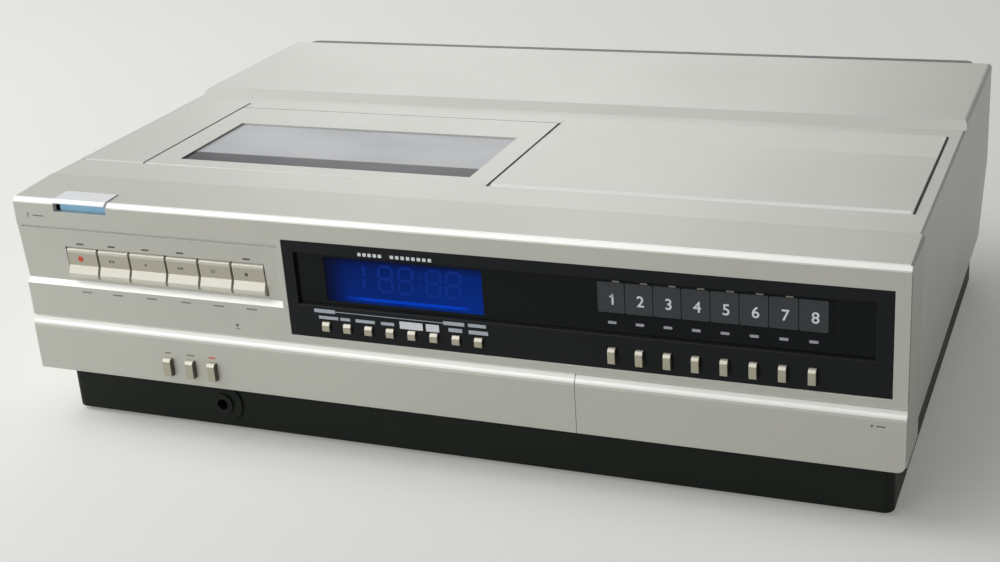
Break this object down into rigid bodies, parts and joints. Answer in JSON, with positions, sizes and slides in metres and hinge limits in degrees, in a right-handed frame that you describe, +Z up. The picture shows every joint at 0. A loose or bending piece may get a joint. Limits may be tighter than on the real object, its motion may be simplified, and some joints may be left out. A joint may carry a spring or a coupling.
{
  "type": "betamax video recorder",
  "caption": "Top-loading video cassette recorder: silver case on a black plinth, hinged cassette lid, deck keys, blue display, channel buttons and a flap over its tuner preset.",
  "frame": {"origin": "centre of the rectangle that the recorder covers, on the surface it stands on", "axes": "+X to the right seen from the front, the front faces -Y, +Z up"},
  "size_m": [0.48, 0.3396, 0.1402],
  "materials": {
    "black_plastic": "fine grained",
    "rubber": "matt",
    "silver_front": "satin metallic paint",
    "silver_cover": "satin metallic paint",
    "gloss_black": "polished",
    "blue_filter": "tinted",
    "smoked_window": "smoked acrylic",
    "screw_steel": "plated",
    "zinc_steel": "zinc plated sheet",
    "drum_aluminium": "turned",
    "mechanism_metal": "machined",
    "motor_casing": "enamel",
    "reel_plastic": "moulded",
    "belt_rubber": "matt",
    "circuit_board": "lacquered",
    "transformer_iron": "varnished",
    "socket_metal": "plated",
    "eject_finish": "bright",
    "key_beige": "satin paint",
    "button_beige": "satin paint"
  },
  "bodies": {
    "casing": {"base_tray": "black_plastic", "rubber_feet": "rubber", "front_panel": "silver_front", "top_cover": "silver_cover", "rear_panel": "black_plastic", "case_screws": "screw_steel", "window_panel": "gloss_black", "display_filter": "blue_filter", "preset_panel": "black_plastic", "deck_plate": "zinc_steel", "lift_frame": "zinc_steel", "lower_drum": "drum_aluminium", "guide_posts": "mechanism_metal", "main_board": "circuit_board", "control_board": "circuit_board", "power_transformer": "transformer_iron", "tuner_module": "zinc_steel", "rear_sockets": "socket_metal", "front_jack": "black_plastic", "capstan_motor": "motor_casing", "drive_belt": "belt_rubber", "key_shaft": "screw_steel"},
    "lid": {"cassette_lid": "silver_cover", "lid_window": "smoked_window", "cassette_carrier": "zinc_steel"},
    "eject": {"eject_key": "eject_finish"},
    "flap": {"preset_flap": "silver_front"},
    "preset_wheel_set": {"preset_wheels": "reel_plastic"},
    "drum": {"upper_drum": "drum_aluminium"},
    "capstan": {"capstan_flywheel": "mechanism_metal"},
    "motor_rotor": {"motor_pulley": "mechanism_metal"},
    "pinch": {"pinch_arm": "mechanism_metal"},
    "supply": {"supply_reel": "reel_plastic"},
    "takeup": {"takeup_reel": "reel_plastic"},
    "ring": {"loading_ring": "mechanism_metal"},
    "record_key_body": {"record_key": "key_beige"},
    "rewind_key_body": {"rewind_key": "key_beige"},
    "play_key_body": {"play_key": "key_beige"},
    "fast_forward_key_body": {"fast_forward_key": "key_beige"},
    "pause_key_body": {"pause_key": "key_beige"},
    "stop_key_body": {"stop_key": "key_beige"},
    "channel_button_1_body": {"channel_button_1": "button_beige"},
    "channel_button_2_body": {"channel_button_2": "button_beige"},
    "channel_button_3_body": {"channel_button_3": "button_beige"},
    "channel_button_4_body": {"channel_button_4": "button_beige"},
    "channel_button_5_body": {"channel_button_5": "button_beige"},
    "channel_button_6_body": {"channel_button_6": "button_beige"},
    "channel_button_7_body": {"channel_button_7": "button_beige"},
    "channel_button_8_body": {"channel_button_8": "button_beige"},
    "timer_button_1_body": {"timer_button_1": "button_beige"},
    "timer_button_2_body": {"timer_button_2": "button_beige"},
    "timer_button_3_body": {"timer_button_3": "button_beige"},
    "timer_button_4_body": {"timer_button_4": "button_beige"},
    "timer_button_5_body": {"timer_button_5": "button_beige"},
    "timer_button_6_body": {"timer_button_6": "button_beige"},
    "timer_button_7_body": {"timer_button_7": "button_beige"},
    "timer_button_8_body": {"timer_button_8": "button_beige"},
    "power_button_body": {"power_button": "button_beige"},
    "timer_button_body": {"timer_button": "button_beige"},
    "input_button_body": {"input_button": "button_beige"}
  },
  "joints": [
    {"name": "lid_swing", "type": "hinge", "parent": "casing", "child": "lid", "pos_m": [0, 0.00735, 0.132], "axis": [-1, 0, 0], "range_deg": [0, 22]},
    {"name": "eject_press", "type": "hinge", "parent": "casing", "child": "eject", "pos_m": [-0.19685, -0.15285, 0.1341], "axis": [1, 0, 0], "range_deg": [0, 8], "stiffness_Nm_per_rad": 0.3},
    {"name": "flap_swing", "type": "hinge", "parent": "casing", "child": "flap", "pos_m": [0.1605, -0.16375, 0.0358], "axis": [1, 0, 0], "range_deg": [0, 90]},
    {"name": "preset_turn", "type": "hinge", "parent": "casing", "child": "preset_wheel_set", "pos_m": [0.14905, -0.14555, 0.05], "axis": [1, 0, 0], "continuous": true},
    {"name": "drum_spin", "type": "hinge", "parent": "casing", "child": "drum", "pos_m": [-0.1, 0.08075, 0.092], "axis": [0, 0, 1], "continuous": true},
    {"name": "capstan_spin", "type": "hinge", "parent": "casing", "child": "capstan", "pos_m": [-0.026, 0.01875, 0.092], "axis": [0, 0, 1], "continuous": true},
    {"name": "motor_spin", "type": "hinge", "parent": "casing", "child": "motor_rotor", "pos_m": [0, 0.10075, 0.092], "axis": [0, 0, 1], "continuous": true},
    {"name": "pinch_swing", "type": "hinge", "parent": "casing", "child": "pinch", "pos_m": [0.004, 0.03275, 0.092], "axis": [0, 0, 1], "range_deg": [0, 24], "stiffness_Nm_per_rad": 0.02},
    {"name": "supply_spin", "type": "hinge", "parent": "casing", "child": "supply", "pos_m": [-0.125, -0.04725, 0.092], "axis": [0, 0, 1], "continuous": true},
    {"name": "takeup_spin", "type": "hinge", "parent": "casing", "child": "takeup", "pos_m": [-0.053, -0.04725, 0.092], "axis": [0, 0, 1], "continuous": true},
    {"name": "ring_turn", "type": "hinge", "parent": "casing", "child": "ring", "pos_m": [-0.1, 0.08075, 0.092], "axis": [0, 0, 1], "range_deg": [0, 195]},
    {"name": "record_key_press", "type": "hinge", "parent": "casing", "child": "record_key_body", "pos_m": [-0.2004, -0.15675, 0.122], "axis": [1, 0, 0], "range_deg": [0, 5], "stiffness_Nm_per_rad": 0.3},
    {"name": "rewind_key_press", "type": "hinge", "parent": "casing", "child": "rewind_key_body", "pos_m": [-0.1802, -0.15675, 0.122], "axis": [1, 0, 0], "range_deg": [0, 5], "stiffness_Nm_per_rad": 0.3},
    {"name": "play_key_press", "type": "hinge", "parent": "casing", "child": "play_key_body", "pos_m": [-0.1586, -0.15675, 0.122], "axis": [1, 0, 0], "range_deg": [0, 5], "stiffness_Nm_per_rad": 0.3},
    {"name": "fast_forward_key_press", "type": "hinge", "parent": "casing", "child": "fast_forward_key_body", "pos_m": [-0.137, -0.15675, 0.122], "axis": [1, 0, 0], "range_deg": [0, 5], "stiffness_Nm_per_rad": 0.3},
    {"name": "pause_key_press", "type": "hinge", "parent": "casing", "child": "pause_key_body", "pos_m": [-0.1168, -0.15675, 0.122], "axis": [1, 0, 0], "range_deg": [0, 5], "stiffness_Nm_per_rad": 0.3},
    {"name": "stop_key_press", "type": "hinge", "parent": "casing", "child": "stop_key_body", "pos_m": [-0.0966, -0.15675, 0.122], "axis": [1, 0, 0], "range_deg": [0, 5], "stiffness_Nm_per_rad": 0.3},
    {"name": "channel_button_1_press", "type": "slide", "parent": "casing", "child": "channel_button_1_body", "axis": [0, 1, 0], "range_m": [0, 0.002], "stiffness_N_per_m": 300},
    {"name": "channel_button_2_press", "type": "slide", "parent": "casing", "child": "channel_button_2_body", "axis": [0, 1, 0], "range_m": [0, 0.002], "stiffness_N_per_m": 300},
    {"name": "channel_button_3_press", "type": "slide", "parent": "casing", "child": "channel_button_3_body", "axis": [0, 1, 0], "range_m": [0, 0.002], "stiffness_N_per_m": 300},
    {"name": "channel_button_4_press", "type": "slide", "parent": "casing", "child": "channel_button_4_body", "axis": [0, 1, 0], "range_m": [0, 0.002], "stiffness_N_per_m": 300},
    {"name": "channel_button_5_press", "type": "slide", "parent": "casing", "child": "channel_button_5_body", "axis": [0, 1, 0], "range_m": [0, 0.002], "stiffness_N_per_m": 300},
    {"name": "channel_button_6_press", "type": "slide", "parent": "casing", "child": "channel_button_6_body", "axis": [0, 1, 0], "range_m": [0, 0.002], "stiffness_N_per_m": 300},
    {"name": "channel_button_7_press", "type": "slide", "parent": "casing", "child": "channel_button_7_body", "axis": [0, 1, 0], "range_m": [0, 0.002], "stiffness_N_per_m": 300},
    {"name": "channel_button_8_press", "type": "slide", "parent": "casing", "child": "channel_button_8_body", "axis": [0, 1, 0], "range_m": [0, 0.002], "stiffness_N_per_m": 300},
    {"name": "timer_button_1_press", "type": "slide", "parent": "casing", "child": "timer_button_1_body", "axis": [0, 1, 0], "range_m": [0, 0.0012], "stiffness_N_per_m": 300},
    {"name": "timer_button_2_press", "type": "slide", "parent": "casing", "child": "timer_button_2_body", "axis": [0, 1, 0], "range_m": [0, 0.0012], "stiffness_N_per_m": 300},
    {"name": "timer_button_3_press", "type": "slide", "parent": "casing", "child": "timer_button_3_body", "axis": [0, 1, 0], "range_m": [0, 0.0012], "stiffness_N_per_m": 300},
    {"name": "timer_button_4_press", "type": "slide", "parent": "casing", "child": "timer_button_4_body", "axis": [0, 1, 0], "range_m": [0, 0.0012], "stiffness_N_per_m": 300},
    {"name": "timer_button_5_press", "type": "slide", "parent": "casing", "child": "timer_button_5_body", "axis": [0, 1, 0], "range_m": [0, 0.0012], "stiffness_N_per_m": 300},
    {"name": "timer_button_6_press", "type": "slide", "parent": "casing", "child": "timer_button_6_body", "axis": [0, 1, 0], "range_m": [0, 0.0012], "stiffness_N_per_m": 300},
    {"name": "timer_button_7_press", "type": "slide", "parent": "casing", "child": "timer_button_7_body", "axis": [0, 1, 0], "range_m": [0, 0.0012], "stiffness_N_per_m": 300},
    {"name": "timer_button_8_press", "type": "slide", "parent": "casing", "child": "timer_button_8_body", "axis": [0, 1, 0], "range_m": [0, 0.0012], "stiffness_N_per_m": 300},
    {"name": "power_button_press", "type": "slide", "parent": "casing", "child": "power_button_body", "axis": [0, 1, 0], "range_m": [0, 0.0024], "stiffness_N_per_m": 300},
    {"name": "timer_button_press", "type": "slide", "parent": "casing", "child": "timer_button_body", "axis": [0, 1, 0], "range_m": [0, 0.0024], "stiffness_N_per_m": 300},
    {"name": "input_button_press", "type": "slide", "parent": "casing", "child": "input_button_body", "axis": [0, 1, 0], "range_m": [0, 0.0024], "stiffness_N_per_m": 300}
  ],
  "couplings": [
    {"joint": "motor_spin", "follows": "capstan_spin", "ratio": 3.75}
  ]
}
